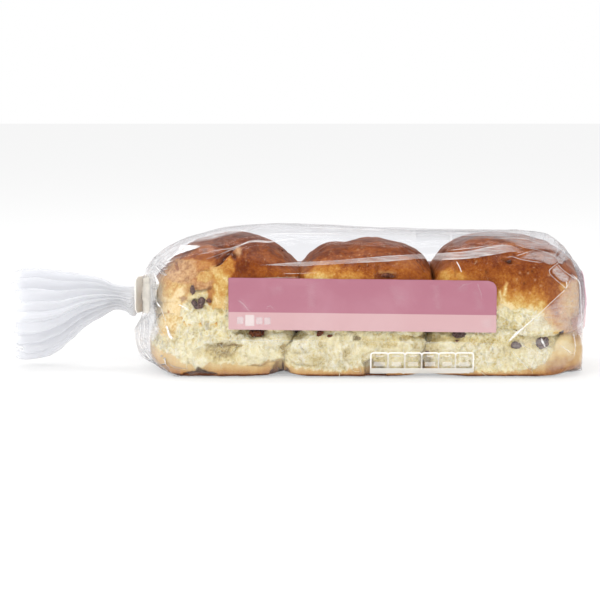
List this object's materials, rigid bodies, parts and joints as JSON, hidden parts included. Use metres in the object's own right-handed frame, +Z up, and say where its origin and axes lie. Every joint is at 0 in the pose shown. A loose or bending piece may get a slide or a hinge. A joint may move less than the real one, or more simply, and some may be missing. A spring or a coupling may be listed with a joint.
{
  "type": "bagged currant buns",
  "caption": "Clear sealed film bag packed with round raisin and currant buns in two layers, its gathered neck held by a flat tag and fanned out past it.",
  "frame": {"origin": "middle of the flat base the bag lies on", "axes": "+X along the bag from the tag to the closed end, +Y from the shown face to the back, +Z up"},
  "size_m": [0.3838, 0.096, 0.0961],
  "materials": {
    "clear_film": "thin clear film, glossy, creased, hazy where it is gathered",
    "tag_plastic": "flat stamped beige plastic, satin",
    "bun_bread": null,
    "dried_fruit": "wrinkled raisin and currant skin with a slight shine",
    "film_print": "ink printed on the film in two tones of dusty pink, and white rules"
  },
  "bodies": {
    "root": {"bag": "clear_film", "closure_tag": "tag_plastic"}
  },
  "joints": []
}
